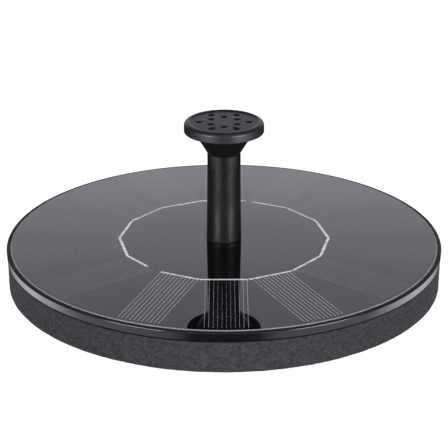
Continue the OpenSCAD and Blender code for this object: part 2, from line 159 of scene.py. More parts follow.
def lathe(name, outline, angles, offset=None):
    """Turns a closed (r, z) outline about Z. offset(angle, r, z) moves a point outwards."""
    bm = bmesh.new()
    rings = []
    for a in angles:
        turned = []
        for r, z in outline:
            far = r + (offset(a, r, z) if offset else 0)
            turned.append(bm.verts.new((far * math.sin(a), -far * math.cos(a), z)))
        rings.append(turned)
    for i, ring in enumerate(rings):
        following = rings[(i + 1) % len(rings)]
        for j in range(len(outline)):
            k = (j + 1) % len(outline)
            bm.faces.new([ring[j], ring[k], following[k], following[j]])
    return finish_mesh(bm, name)


def even_angles(count):
    """Evenly spaced angles once round, in radians."""
    return [2 * math.pi * i / count for i in range(count)]


# ---- Materials ----------------------------------------------------------------------------

def new_material(name):
    """A material with an empty tree but for its shader, and a helper that adds and links nodes."""
    material = bpy.data.materials.new(name)
    material.use_nodes = True
    tree = material.node_tree
    shader = tree.nodes["Principled BSDF"]
    coords = tree.nodes.new("ShaderNodeTexCoord")

    def add(kind, inputs=None, **settings):
        node = tree.nodes.new(kind)
        for key, value in settings.items():
            setattr(node, key, value)
        for key, value in (inputs or {}).items():
            if isinstance(value, bpy.types.NodeSocket):
                tree.links.new(value, node.inputs[key])
            else:
                node.inputs[key].default_value = value
        return node

    return material, shader, coords.outputs["Object"], add, tree.links


def ramp(add, source, stops):
    """A colour ramp over source, with (place, colour) stops."""
    node = add("ShaderNodeValToRGB", {"Fac": source})
    elements = node.color_ramp.elements
    while len(elements) < len(stops):
        elements.new(0.5)
    for element, (place, colour) in zip(elements, stops):
        element.position = place
        element.color = (*colour, 1)
    return node.outputs["Color"]


def noise_of(add, coords, per_mm, detail=2.0, stretch=(1, 1, 1), roughness=0.5):
    """Noise with per_mm features to the millimetre."""
    scaled = add("ShaderNodeMapping", {"Vector": coords, "Scale": stretch})
    node = add("ShaderNodeTexNoise", {"Vector": scaled.outputs["Vector"], "Scale": per_mm / MM,
                                      "Detail": detail, "Roughness": roughness})
    return node.outputs["Fac"]


def bump_of(add, height, depth_mm, normal=None):
    inputs = {"Height": height, "Distance": depth_mm * MM, "Strength": 1.0}
    if normal is not None:
        inputs["Normal"] = normal
    return add("ShaderNodeBump", inputs).outputs["Normal"]


def remap(add, value, low, high, low_in=0.3, high_in=0.7):
    """Maps low_in to high_in, which is about where noise lies, onto low to high."""
    node = add("ShaderNodeMapRange", {"Value": value, "From Min": low_in, "From Max": high_in,
                                      "To Min": low, "To Max": high})
    return node.outputs["Result"]


def moulded_plastic(name, base, rough):
    """Moulded ABS: an even fine texture, slight cloudiness, and roughness that varies with it."""
    material, shader, coords, add, links = new_material(name)
    cloud = noise_of(add, coords, 0.12, 3)
    tone = ramp(add, cloud, [(0.3, [c * 0.82 for c in base]), (0.7, [c * 1.18 for c in base])])
    links.new(tone, shader.inputs["Base Color"])
    fine = noise_of(add, coords, 4, 2)
    links.new(remap(add, fine, rough - 0.06, rough + 0.06), shader.inputs["Roughness"])
    links.new(bump_of(add, fine, 0.012), shader.inputs["Normal"])
    return material


# The spray disc's dull plate changes to its smooth rim, its drilled jets begin below the top and
# are told from the outer wall by their distance from the axis
PLATE_TO_RIM = (11.6 * MM, 12.9 * MM)
DRILLED_DEPTH = (0.75 * MM, 0.5 * MM)
OUTER_WALL = (11.4 * MM, 11.9 * MM)


def head_plastic(name, base, rim_rough, plate_rough):
    """The spray disc: a smooth rim, a duller plate, and glossy drilled jets."""
    material, shader, coords, add, links = new_material(name)
    cloud = noise_of(add, coords, 0.25, 3)
    tone = ramp(add, cloud, [(0.3, [c * 0.8 for c in base]), (0.7, [c * 1.2 for c in base])])
    links.new(tone, shader.inputs["Base Color"])
    flat = add("ShaderNodeVectorMath", {0: coords, 1: (1, 1, 0)}, operation="MULTIPLY")
    reach = add("ShaderNodeVectorMath", {0: flat.outputs[0]}, operation="LENGTH").outputs["Value"]
    turned = remap(add, reach, plate_rough, rim_rough, *PLATE_TO_RIM)
    height = add("ShaderNodeSeparateXYZ", {"Vector": coords}).outputs["Z"]
    drilled = remap(add, height, 0.15, 1, *[HEAD_HIGH.z - depth for depth in DRILLED_DEPTH])
    outside = remap(add, reach, 0, 1, *OUTER_WALL)
    polish = add("ShaderNodeMath", {0: drilled, 1: outside}, operation="MAXIMUM")
    shaped = add("ShaderNodeMath", {0: turned, 1: polish.outputs[0]}, operation="MULTIPLY")
    fine = noise_of(add, coords, 4, 2)
    uneven = add("ShaderNodeMath", {0: shaped.outputs[0], 1: remap(add, fine, 0.85, 1.15)},
                 operation="MULTIPLY")
    links.new(uneven.outputs[0], shader.inputs["Roughness"])
    links.new(bump_of(add, fine, 0.012), shader.inputs["Normal"])
    return material


def glossy_plastic(name, base, rough):
    """Polished moulding: smooth, with the faint orange peel of a hot mould."""
    material, shader, coords, add, links = new_material(name)
    cloud = noise_of(add, coords, 0.2, 2)
    tone = ramp(add, cloud, [(0.3, [c * 0.9 for c in base]), (0.7, [c * 1.1 for c in base])])
    links.new(tone, shader.inputs["Base Color"])
    peel = noise_of(add, coords, 0.35, 1)
    links.new(remap(add, cloud, rough * 0.8, rough * 1.4), shader.inputs["Roughness"])
    links.new(bump_of(add, peel, 0.01), shader.inputs["Normal"])
    return material


MENISCUS_SLOPE = 0.027
MENISCUS_START = 10 * MM
MENISCUS_END = 58 * MM


def meniscus(add, coords):
    """Normals of poured resin, which is level at the middle and falls away very slightly to the rim."""
    away = add("ShaderNodeVectorMath", {0: coords, 1: (1, 1, 0)}, operation="MULTIPLY")
    reach = add("ShaderNodeVectorMath", {0: away.outputs[0]}, operation="LENGTH")
    outward = add("ShaderNodeVectorMath", {0: away.outputs[0]}, operation="NORMALIZE")
    slope = add("ShaderNodeMapRange", {"Value": reach.outputs["Value"], "From Min": MENISCUS_START,
                                       "From Max": MENISCUS_END, "To Min": 0, "To Max": MENISCUS_SLOPE})
    lean = add("ShaderNodeVectorMath", {0: outward.outputs[0], "Scale": slope.outputs["Result"]},
               operation="SCALE")
    lean_world = add("ShaderNodeVectorTransform", {0: lean.outputs[0]}, vector_type="VECTOR",
                     convert_from="OBJECT", convert_to="WORLD")
    surface = add("ShaderNodeNewGeometry")
    total = add("ShaderNodeVectorMath", {0: surface.outputs["Normal"], 1: lean_world.outputs[0]})
    return add("ShaderNodeVectorMath", {0: total.outputs[0]}, operation="NORMALIZE").outputs[0]


def under_resin(name, tones, scale):
    """Stands in for something seen through clear resin: an opaque, mottled, polished surface."""
    material, shader, coords, add, links = new_material(name)
    mottle = add("ShaderNodeTexVoronoi", {"Vector": coords, "Scale": scale / MM})
    tone = ramp(add, mottle.outputs["Color"], [(0.0, tones[0]), (1.0, tones[1])])
    links.new(tone, shader.inputs["Base Color"])
    smear = noise_of(add, coords, 0.08, 3)
    links.new(remap(add, smear, 0.015, 0.03), shader.inputs["Roughness"])
    wave = noise_of(add, coords, 0.05, 1)
    links.new(bump_of(add, wave, 0.012, normal=meniscus(add, coords)), shader.inputs["Normal"])
    shader.inputs["IOR"].default_value = 1.5
    return material


def circuit_board(name, base):
    """Solder mask over a faint glass weave."""
    material, shader, coords, add, links = new_material(name)
    weave = add("ShaderNodeTexWave", {"Vector": coords, "Scale": 0.6 / MM, "Distortion": 0.4})
    tone = ramp(add, weave.outputs["Fac"],
                [(0.0, [c * 0.9 for c in base]), (1.0, [c * 1.1 for c in base])])
    links.new(tone, shader.inputs["Base Color"])
    links.new(remap(add, noise_of(add, coords, 0.4), 0.3, 0.45), shader.inputs["Roughness"])
    links.new(bump_of(add, weave.outputs["Fac"], 0.006), shader.inputs["Normal"])
    return material


def metal(name, base, rough, grain, depth=0.006, stretch=(1, 1, 1)):
    """Bare metal with drawn or printed grain."""
    material, shader, coords, add, links = new_material(name)
    streak = noise_of(add, coords, grain, 3, stretch)
    tone = ramp(add, streak,
                [(0.3, [c * 0.85 for c in base]), (0.7, [min(c * 1.1, 1) for c in base])])
    links.new(tone, shader.inputs["Base Color"])
    links.new(remap(add, streak, rough * 0.75, rough * 1.25), shader.inputs["Roughness"])
    links.new(bump_of(add, streak, depth), shader.inputs["Normal"])
    shader.inputs["Metallic"].default_value = 1
    return material


def printed_silver(name, bright, dull):
    """Printed silver lines, with a painted glint: their colour is bright near the -Y side of the disc
    and duller elsewhere.
    """
    material, shader, coords, add, links = new_material(name)
    place = add("ShaderNodeSeparateXYZ", {"Vector": coords})
    aside = add("ShaderNodeMath", {0: place.outputs["X"]}, operation="ABSOLUTE")
    ahead = add("ShaderNodeMath", {0: place.outputs["Y"], 1: -1}, operation="MULTIPLY")
    bearing = add("ShaderNodeMath", {0: aside.outputs[0], 1: ahead.outputs[0]}, operation="ARCTAN2")
    # Painted glint: the lines' colour goes from dull to bright by bearing towards the -Y side, standing
    # in for a reflection.
    painted_glint = remap(add, bearing.outputs[0], 1, 0, math.radians(34), math.radians(48))
    tone = ramp(add, painted_glint, [(0, dull), (1, bright)])
    grain = noise_of(add, coords, 5, 3)
    links.new(tone, shader.inputs["Base Color"])
    links.new(remap(add, grain, 0.15, 0.28), shader.inputs["Roughness"])
    links.new(bump_of(add, grain, 0.003), shader.inputs["Normal"])
    shader.inputs["Metallic"].default_value = 1
    return material


def foam(name, base, pores=1.1, depth=0.09, contrast=0.3):
    """Closed-cell foam: matte, mottled in patches, with small pores all over."""
    material, shader, coords, add, links = new_material(name)
    patches = noise_of(add, coords, 0.5, 3, (1, 1, 1.8), 0.6)
    cells = add("ShaderNodeTexVoronoi", {"Vector": coords, "Scale": pores / MM})
    grain = noise_of(add, coords, 1.3, 3)
    mixed = add("ShaderNodeMix", {"Factor": 0.55, "A": patches, "B": grain})
    tone = ramp(add, mixed.outputs["Result"],
                [(0.36, [c * (1 - contrast) for c in base]), (0.64, [c * (1 + contrast) for c in base])])
    links.new(tone, shader.inputs["Base Color"])
    shader.inputs["Roughness"].default_value = 0.85
    shader.inputs["Specular IOR Level"].default_value = 0.2
    soft = bump_of(add, patches, depth * 2)
    links.new(bump_of(add, cells.outputs["Distance"], depth, normal=soft), shader.inputs["Normal"])
    return material


def tray_plastic(name, base):
    """The tray: a polished band, and a lip with the fine texture of the mould's parting face."""
    material, shader, coords, add, links = new_material(name)
    cloud = noise_of(add, coords, 0.2, 2)
    tone = ramp(add, cloud, [(0.3, [c * 0.85 for c in base]), (0.7, [c * 1.15 for c in base])])
    links.new(tone, shader.inputs["Base Color"])
    height = add("ShaderNodeSeparateXYZ", {"Vector": coords}).outputs["Z"]
    lip = remap(add, height, 0.1, 0.68, TOP_Z - 0.62 * MM, TOP_Z - 0.4 * MM)
    handling = add("ShaderNodeMath", {0: lip, 1: remap(add, cloud, 0.85, 1.2)}, operation="MULTIPLY")
    links.new(handling.outputs[0], shader.inputs["Roughness"])
    peel = noise_of(add, coords, 0.35, 1)
    links.new(bump_of(add, peel, 0.008), shader.inputs["Normal"])
    return material


def frosted_edge(name, base):
    """The trimmed edge of the laminate, which scatters light where the clear face does not."""
    material, shader, coords, add, links = new_material(name)
    scuffs = noise_of(add, coords, 1.5, 4)
    tone = ramp(add, scuffs, [(0.3, [c * 0.75 for c in base]), (0.65, base)])
    links.new(tone, shader.inputs["Base Color"])
    links.new(remap(add, scuffs, 0.35, 0.6), shader.inputs["Roughness"])
    links.new(bump_of(add, scuffs, 0.02), shader.inputs["Normal"])
    return material


def rubber(name, base):
    """Silicone rubber with a faint, uneven bloom."""
    material, shader, coords, add, links = new_material(name)
    bloom = noise_of(add, coords, 0.8, 3)
    tone = ramp(add, bloom, [(0.3, [c * 0.8 for c in base]), (0.7, [c * 1.3 for c in base])])
    links.new(tone, shader.inputs["Base Color"])
    links.new(remap(add, bloom, 0.55, 0.8), shader.inputs["Roughness"])
    links.new(bump_of(add, bloom, 0.02), shader.inputs["Normal"])
    return material


BLACK_ABS = (0.012, 0.0125, 0.014)
MATERIALS = {
    "head_plastic": head_plastic("head_plastic", (0.008, 0.0083, 0.0105), 0.44, 0.52),
    "tube_plastic": moulded_plastic("tube_plastic", (0.0045, 0.0046, 0.005), 0.31),
    "panel_glaze": under_resin("panel_glaze", ((0.0028, 0.003, 0.0036), (0.0036, 0.0038, 0.0046)), 1.2),
    "solar_cell": under_resin("solar_cell", ((0.0032, 0.0034, 0.0044), (0.0052, 0.0056, 0.0076)), 0.25),
    "laminate_edge": frosted_edge("laminate_edge", (0.21, 0.215, 0.23)),
    "bus_ribbon": under_resin("bus_ribbon", ((0.34, 0.34, 0.35), (0.85, 0.85, 0.87)), 0.7),
    # The silver lines' bright colour is a painted glint near the -Y side; the dull one is their colour
    # elsewhere.
    "silver_paste": printed_silver("silver_paste", (0.72, 0.72, 0.74), (0.25, 0.25, 0.265)),
    "panel_board": circuit_board("panel_board", (0.01, 0.011, 0.013)),
    "tray_plastic": tray_plastic("tray_plastic", (0.004, 0.0042, 0.005)),
    "foam": foam("foam", (0.0205, 0.021, 0.0243), contrast=0.5),
    "pump_plastic": moulded_plastic("pump_plastic", BLACK_ABS, 0.42),
    "seal_rubber": rubber("seal_rubber", (0.012, 0.012, 0.012)),
    "screw_steel": metal("screw_steel", (0.6, 0.61, 0.63), 0.28, 4),
    "potting_resin": glossy_plastic("potting_resin", (0.012, 0.012, 0.014), 0.2),
    "circuit_board": circuit_board("circuit_board", (0.01, 0.09, 0.035)),
    "chip_black": moulded_plastic("chip_black", (0.015, 0.015, 0.015), 0.5),
    "capacitor_ceramic": moulded_plastic("capacitor_ceramic", (0.38, 0.25, 0.13), 0.5),
    "lead_red": glossy_plastic("lead_red", (0.42, 0.015, 0.012), 0.3),
    "lead_black": glossy_plastic("lead_black", (0.012, 0.012, 0.012), 0.3),
    "stator_iron": metal("stator_iron", (0.35, 0.36, 0.37), 0.45, 2, 0.02, (1, 1, 8)),
    "coil_copper": metal("coil_copper", (0.7, 0.3, 0.12), 0.35, 1.2, 0.06, (1, 1, 5)),
    "magnet_ferrite": moulded_plastic("magnet_ferrite", (0.05, 0.05, 0.055), 0.55),
    "impeller_plastic": moulded_plastic("impeller_plastic", (0.7, 0.69, 0.64), 0.35),
    "bush_carbon": moulded_plastic("bush_carbon", (0.06, 0.06, 0.055), 0.4),
    "shaft_ceramic": glossy_plastic("shaft_ceramic", (0.8, 0.8, 0.76), 0.12),
    "sponge": foam("sponge", (0.02, 0.02, 0.022), 1.6, 0.25, 0.5),
    "strainer_plastic": moulded_plastic("strainer_plastic", BLACK_ABS, 0.4),
}


def wear(piece, slot, body, finish=None):
    """Gives a new piece its material, picked by its finish or else by its slot name, and its body."""
    piece.data.materials.clear()
    piece.data.materials.append(MATERIALS[finish or slot])
    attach(piece, body)
    return piece


for part in frame["record"]["subparts"]:
    node = frame["nodes"][part["node"]]
    node.data.materials.clear()
    node.data.materials.append(MATERIALS[part["material_slot"]])


# ---- Panel --------------------------------------------------------------------------------

def mm(value):
    """Metres as millimetres."""
    return value / MM


# Width of the laminate's frosted edge, in millimetres
EDGE_W = 0.42


def make_resin():
    """The panel's face between the cells: an opaque stand-in for the resin over the dark board."""
    low = mm(CELL_Z) - 0.3
    top = mm(TOP_Z)
    edge = mm(GLAZE_R) - EDGE_W
    outline = rounded([(PANEL_HOLE_R, low, 0), (edge, low, 0), (edge, top, 0),
                       (PANEL_HOLE_R, top, 0.12)], 6)
    resin = lathe("panel_resin", outline, even_angles(RIM_STEPS))
    wear(resin, "panel_glaze", "float")
    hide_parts("panel_glaze")


# Cells, fingers and ribbons come up to the resin's face, each a few microns above the one below
CELL_STEP_UP = 0.004 * MM
SILVER_STEP_UP = 0.008 * MM


def raise_to_face(name, node, step_up):
    """A copy of a CAD piece whose upper side is brought up to the panel's face."""
    source = frame["nodes"][node]
    mesh = source.data.copy()
    middle = (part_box(node)[0].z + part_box(node)[1].z) / 2
    for vertex in mesh.vertices:
        if vertex.co.z > middle:
            vertex.co.z = TOP_Z + step_up
    return new_object(name, mesh)


def make_cells():
    """The faces of the solar cells, one for each CAD cell."""
    for node in CELLS:
        cell = raise_to_face("cell_face" + node[-3:], node, CELL_STEP_UP)
        wear(cell, "solar_cell", "float")
        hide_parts(node)


def make_ribbons():
    """The silver ribbons that join the cells in a polygon."""
    ribbons = raise_to_face("ribbon_ring", "bus_ribbons", SILVER_STEP_UP)
    wear(ribbons, "bus_ribbon", "float")
    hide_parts("bus_ribbons")


def make_laminate_edge():
    """The bevelled rim of the clear layer, which is frosted from trimming."""
    top = mm(TOP_Z)
    inner, outer = mm(GLAZE_R) - EDGE_W, mm(GLAZE_R) + 0.12
    outline = rounded([(inner, top - 1, 0), (outer, top - 1, 0), (outer, top - 0.42, 0.1),
                       (inner + 0.12, top, 0.08), (inner, top, 0)], 4)
    edge = lathe("laminate_edge", outline, even_angles(RIM_STEPS))
    wear(edge, "panel_glaze", "float", "laminate_edge")


def printed_line(bm, start, end, width, z0, z1):
    """A printed silver line, which stands up as a low ridge."""
    along = (end - start).normalized()
    across = Vector((-along.y, along.x, 0)) * width / 2
    corners = []
    for spot in (start, end):
        for aside, z in ((-1, z0), (1, z0), (0, z1)):
            place = spot + across * aside
            corners.append(bm.verts.new((place.x, place.y, z)))
    bm.faces.new(corners[:3])
    bm.faces.new(corners[3:])
    for i in range(3):
        j = (i + 1) % 3
        bm.faces.new([corners[i], corners[j], corners[j + 3], corners[i + 3]])


def outwards(angle):
    """The direction away from the axis at an angle from the camera's side."""
    return Vector((math.sin(angle), -math.cos(angle), 0))


# Cells whose print isn't quite central: how far it is turned, in degrees, and moved aside, in mm
ASKEW = {0: (0, 0.8), len(CELLS) - 1: (6.2, 3.0)}

# The printed lines of a cell. They end at FINGER_END_R, start a little below the face and stand proud
FINGER_COUNT = 11
FINGER_PITCH = 1.45 * MM
FINGER_W = 0.21 * MM
FINGER_END_R = 76.7 * MM
FINGER_SUNK = 0.01 * MM
FINGER_PROUD = 0.018 * MM


def make_fingers():
    """Printed silver lines: each cell has a band of them, parallel to the middle of the cell."""
    apothem = RIBBON_R * MM * math.cos(CELL_STEP / 2)
    for i, cell in enumerate(CELLS):
        bm = bmesh.new()
        out = outwards(i * CELL_STEP)
        side = Vector((-out.y, out.x, 0))
        degrees, shift = ASKEW.get(i, (0, 0))
        pivot = out * (apothem + FINGER_END_R) / 2
        lay = (Matrix.Translation(pivot + side * shift * MM)
               @ Matrix.Rotation(math.radians(degrees), 4, "Z") @ Matrix.Translation(-pivot))
        for k in range(FINGER_COUNT):
            aside = (k - (FINGER_COUNT - 1) / 2) * FINGER_PITCH
            reach = math.sqrt(FINGER_END_R ** 2 - aside ** 2)
            start = out * apothem + side * aside
            end = out * reach + side * aside
            printed_line(bm, lay @ start, lay @ end, FINGER_W, TOP_Z - FINGER_SUNK, TOP_Z + FINGER_PROUD)
        fingers = finish_mesh(bm, "cell_fingers" + cell[-3:])
        wear(fingers, "bus_ribbon", "float", "silver_paste")


make_resin()
make_laminate_edge()
make_cells()
make_ribbons()
make_fingers()


# ---- Float --------------------------------------------------------------------------------

def make_tray():
    """The tray, with its thin lip, rounded rim and locating ring."""
    top, under, floor = mm(TOP_Z), mm(TRAY_Z), mm(BOARD_Z)
    rim, lip = mm(TRAY_R), mm(TRAY_R) - 1.2
    rib_outer, rib_wall, rib_depth = 31.6, 1.1, 4
    rib_inner, rib_foot = rib_outer - rib_wall, under - rib_depth
    outline = rounded([
        (TRAY_HOLE_R, under, 0), (rib_inner, under, 0.3), (rib_inner, rib_foot, 0.15),
        (rib_outer, rib_foot, 0.15), (rib_outer, under, 0.3), (rim - 0.2, under, 0.7),
        (rim, top - 0.42, 0.42), (lip, top, 0.2), (lip, floor, 0), (TRAY_HOLE_R, floor, 0)], 6)
    tray = lathe("tray_shell", outline, even_angles(RIM_STEPS))
    wear(tray, "tray_plastic", "float")
    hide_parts("float_tray")


def make_bosses():
    """The four posts under the tray that take the housing screws."""
    ring_r, post_r, pilot_r = 27.5, 2.8, 1.1
    foot, high = 21, mm(TRAY_Z)
    outline = rounded([(pilot_r, foot, 0.1), (post_r, foot, 0.2), (post_r, high, 0),
                       (pilot_r, high, 0)], 3)
    for i, degrees in enumerate((20, 110, 200, 290)):
        boss = lathe(f"tray_boss_{i + 1}", outline, even_angles(48))
        turn = math.radians(degrees)
        boss.data.transform(Matrix.Translation(
            (ring_r * MM * math.cos(turn), ring_r * MM * math.sin(turn), 0)))
        wear(boss, "tray_plastic", "float")


def make_foam():
    """The foam ring: die-cut, so its edges are a little soft and its faces are not quite flat."""
    low, high = mm(FOAM_Z), mm(TRAY_Z)
    outer = mm(FOAM_R)
    outline = rounded([(FOAM_BORE_R, low, 0.5), (outer, low, 0.45), (outer, high - 0.05, 0.4),
                       (FOAM_BORE_R, high - 0.05, 0.3)], 4)
    dense = []
    for i, (r, z) in enumerate(outline):
        nr, nz = outline[(i + 1) % len(outline)]
        pieces = max(1, round(math.hypot(nr - r, nz - z) / (1.2 * MM)))
        dense += [(r + (nr - r) * k / pieces, z + (nz - z) * k / pieces) for k in range(pieces)]
    ring = lathe("foam_ring", dense, even_angles(360))
    points = [vertex.co.copy() for vertex in ring.data.vertices]
    normals = [vertex.normal.copy() for vertex in ring.data.vertices]
    moved = []
    for point, normal in zip(points, normals):
        swell = noise.noise(point * 90) * 0.08 + noise.noise(point * 420) * 0.07
        moved.extend(point + normal * (swell - 0.05) * MM)
    ring.data.vertices.foreach_set("co", moved)
    ring.data.update()
    wear(ring, "foam", "float")
    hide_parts("foam_float")


make_tray()
make_bosses()
make_foam()


# ---- Tube, funnel and spray disc ----------------------------------------------------------

TUBE_STEPS = 128
SEAMS = (math.radians(97), math.radians(277))
SEAM_W = math.radians(1.6)
SEAM_HEIGHT = 0.05 * MM
# Only walls outside this radius, which are those on the outside, have a seam
SEAM_LOW_R = 5 * MM


def seam_ridge(angle, r, z):
    """How far a point of a turned outline is moved outwards, which it is at a seam."""
    gap = min(abs((angle - s + math.pi) % (2 * math.pi) - math.pi) for s in SEAMS)
    return SEAM_HEIGHT if gap < SEAM_W * 0.3 and r > SEAM_LOW_R else 0


def seam_angles(count):
    """Even angles with a few more at each mould seam, so a thin ridge can stand there."""
    fine = [s + k * SEAM_W / 2 for s in SEAMS for k in (-2, -1, 0, 1, 2)]
    clear = [a for a in even_angles(count)
             if all(abs((a - s + math.pi) % (2 * math.pi) - math.pi) > SEAM_W * 1.4 for s in SEAMS)]
    return sorted(a % (2 * math.pi) for a in clear + fine)


def make_tube():
    """The extension tube: a wider foot, a slightly waisted stem, and a plug for the funnel."""
    low, high = mm(TUBE_LOW.z), mm(TUBE_HIGH.z)
    foot_r, waist_r = mm(TUBE_HIGH.x), STEM_R + 0.2
    foot_z, waist_z, socket_z, shoulder = low + 1.3, low + 12, low + 12.4, high - 8
    outline = rounded([
        (SOCKET_R, low, 0.3), (foot_r, low, 0.35), (foot_r, foot_z, 0.8), (waist_r, waist_z, 20),
        (STEM_R, shoulder, 0.15), (PLUG_R, shoulder, 0.1), (PLUG_R, high, 0.4), (WATER_R, high, 0.1),
        (WATER_R, socket_z, 0), (SOCKET_R, socket_z, 0)], 6)
    tube = lathe("tube_body", outline, seam_angles(TUBE_STEPS), seam_ridge)
    wear(tube, "tube_plastic", "tube")
    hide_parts("extension_tube")


def make_funnel():
    """The funnel: a short stem, a straight cone and the flange that the spray disc fits over."""
    low, high = mm(FUNNEL_LOW.z), mm(FUNNEL_HIGH.z)
    flange_r = mm(FUNNEL_HIGH.x)
    flare = math.radians(FUNNEL_FLARE_DEG)
    slope = math.tan(flare)
    cone_z = low + 6.4
    flange_z = high - 1
    socket_z = low + 8.3
    lip_z = socket_z + 0.8
    wall = 1.2 / math.cos(flare)
    cone_r = STEM_R + (flange_z - cone_z) * slope
    lip_r = STEM_R + (lip_z - cone_z) * slope - wall
    mouth_r = STEM_R + (high - cone_z) * slope - wall
    outline = rounded([
        (SOCKET_R, low, 0.25), (STEM_R, low, 0.15), (STEM_R, cone_z, 1.2), (cone_r, flange_z, 0.15),
        (flange_r, flange_z, 0.15), (flange_r, high, 0.2), (mouth_r, high, 0.15), (lip_r, lip_z, 0.3),
        (WATER_R, lip_z, 0.1), (WATER_R, socket_z, 0), (SOCKET_R, socket_z, 0)], 6)
    funnel = lathe("funnel_body", outline, seam_angles(TUBE_STEPS), seam_ridge)
    wear(funnel, "tube_plastic", "funnel")
    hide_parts("nozzle_funnel")


def jet_cutter(bm, x, y, top):
    """A countersunk drill for one jet, as a closed turned shape."""
    profile = [(0.7, top - 4), (0.7, top - 0.9), (1.05, top - 0.65), (1.2, top - 0.05),
               (1.3, top + 0.1), (1.3, top + 1)]
    sides = 32
    rings = [[bm.verts.new(((x + r * math.cos(a)) * MM, (y + r * math.sin(a)) * MM, z * MM))
              for a in even_angles(sides)] for r, z in profile]
    for lower, upper in zip(rings, rings[1:]):
        for i in range(sides):
            j = (i + 1) % sides
            bm.faces.new([lower[i], lower[j], upper[j], upper[i]])
    bm.faces.new(rings[0][::-1])
    bm.faces.new(rings[-1])


# How far the plate lies below the rim, and how much of that its dome takes back, in millimetres
DISH = 0.45
DOME = 0.15
# Radii of the two rings of jets, in millimetres, and how far each ring is turned, in steps of a jet
JETS_PER_RING = 6
JET_RINGS = ((9.0, 0), (5.5, 0.5))


def make_head():
    """The spray disc: a rounded rim around a sunken, slightly domed plate with the jets."""
    low, high = mm(HEAD_LOW.z), mm(HEAD_HIGH.z)
    rim_r = mm(HEAD_HIGH.x)
    bore_r, plate = rim_r - 1.2, 1.6
    under = high - plate
    dish_top_r, dish_floor_r = 12.8, 12.0
    outline = rounded([
        (0.001, under - 1.2, 0), (1.2, under - 1.2, 0.2), (2.0, under, 0), (bore_r, under, 0.2),
        (bore_r, low, 0.2), (rim_r, low, 0.35), (rim_r, high, 1.5), (dish_top_r, high, 0.5),
        (dish_floor_r, high - DISH, 0.8), (6, high - DISH + DOME, 4),
        (0.001, high - DISH + DOME, 0)], 8)
    head = lathe("spray_head", outline, even_angles(192))
    bm = bmesh.new()
    for i in range(JETS_PER_RING):
        for r, turn in JET_RINGS:
            angle = (i + turn) * 2 * math.pi / JETS_PER_RING
            jet_cutter(bm, r * math.cos(angle), r * math.sin(angle), high - DISH + 0.05)
    drills = finish_mesh(bm, "drills")
    cut = head.modifiers.new("jets", "BOOLEAN")
    cut.operation, cut.solver, cut.object = "DIFFERENCE", "EXACT", drills
    applied(head)
    bpy.data.objects.remove(drills)
    head.data.shade_smooth()
    head.data.set_sharp_from_angle(angle=math.radians(30))
    keep_flats_flat(head)
    wear(head, "head_plastic", "head")
    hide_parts("spray_disc")


make_tube()
make_funnel()
make_head()


# ---- Studio -------------------------------------------------------------------------------

def smooth_step(tree, value, low, high, to_low, to_high):
    """Goes smoothly from to_low to to_high as value goes from low to high."""
    node = tree.nodes.new("ShaderNodeMapRange")
    node.interpolation_type = "SMOOTHSTEP"
    tree.links.new(value, node.inputs["Value"])
    for key, number in (("From Min", low), ("From Max", high), ("To Min", to_low), ("To Max", to_high)):
        node.inputs[key].default_value = number
    return node.outputs["Result"]


def share(tree, factor, first, second):
    """Blends two shaders."""
    node = tree.nodes.new("ShaderNodeMixShader")
    tree.links.new(factor, node.inputs["Fac"])
    tree.links.new(first, node.inputs[1])
    tree.links.new(second, node.inputs[2])
    return node.outputs[0]


def combine(tree, first, second, operation="MULTIPLY"):
    """A maths node on two values or outputs, which multiplies unless told otherwise."""
    node = tree.nodes.new("ShaderNodeMath")
    node.operation = operation
    for socket, value in zip(node.inputs, (first, second)):
        if isinstance(value, bpy.types.NodeSocket):
            tree.links.new(value, socket)
        else:
            socket.default_value = value
    return node.outputs[0]


# The backdrop begins and is full at these Y parts of a direction, and fades between these Z parts
BACKDROP_EDGE = (0.72, 0.87)
BACKDROP_Z = (0.28, 0.62)
BACKDROP_LEVEL = (1.16, 0.44)
AMBIENT = 0.06


def make_world():
    """Plain white to the camera. To other rays, a backdrop behind the object in a dark room."""
    world = bpy.data.worlds.new("studio")
    bpy.context.scene.world = world
    world.use_nodes = True
    tree = world.node_tree
    background = tree.nodes["Background"]
    coords = tree.nodes.new("ShaderNodeTexCoord")
    axes = tree.nodes.new("ShaderNodeSeparateXYZ")
    tree.links.new(coords.outputs["Generated"], axes.inputs["Vector"])
    behind = smooth_step(tree, axes.outputs["Y"], *BACKDROP_EDGE, 0.0, 1.0)
    height = tree.nodes.new("ShaderNodeMapRange")
    tree.links.new(axes.outputs["Z"], height.inputs["Value"])
    keys = ("From Min", "From Max", "To Min", "To Max")
    for key, number in zip(keys, BACKDROP_Z + BACKDROP_LEVEL):
        height.inputs[key].default_value = number
    glow = combine(tree, combine(tree, behind, height.outputs["Result"]), AMBIENT, "ADD")
    tree.links.new(glow, background.inputs["Strength"])
    background.inputs["Color"].default_value = (0.96, 0.965, 1.06, 1)
    paper = tree.nodes.new("ShaderNodeBackground")
    path = tree.nodes.new("ShaderNodeLightPath")
    both = share(tree, path.outputs["Is Camera Ray"], background.outputs[0], paper.outputs[0])
    tree.links.new(both, tree.nodes["World Output"].inputs["Surface"])


# Painted reflection: how bright the floor glows to glossy rays, which shows in the band's gloss, by its
# bearing from the camera's side in degrees
FLOOR_GLOSS = ((0, 0.0), (11, 0.05), (20, 1.15), (54, 1.3), (69, 2.9), (82, 2.8), (93, 1.6), (104, 0.85),
               (114, 0.15), (124, 0.02), (180, 0.02))
GLOSS_PEAK = 2.9
# Brightness of the floor right below the object, which lights its underside
UNDERLIGHT = 3.0
# Distances from the axis over which the floor's light changes
REFLECTION_RING_END = (0.15, 0.18)
REFLECTION_RING_START = (0.098, 0.112)
GLOW_START = (0.085, 0.125)
UNDERLIGHT_END = (0.055, 0.07)
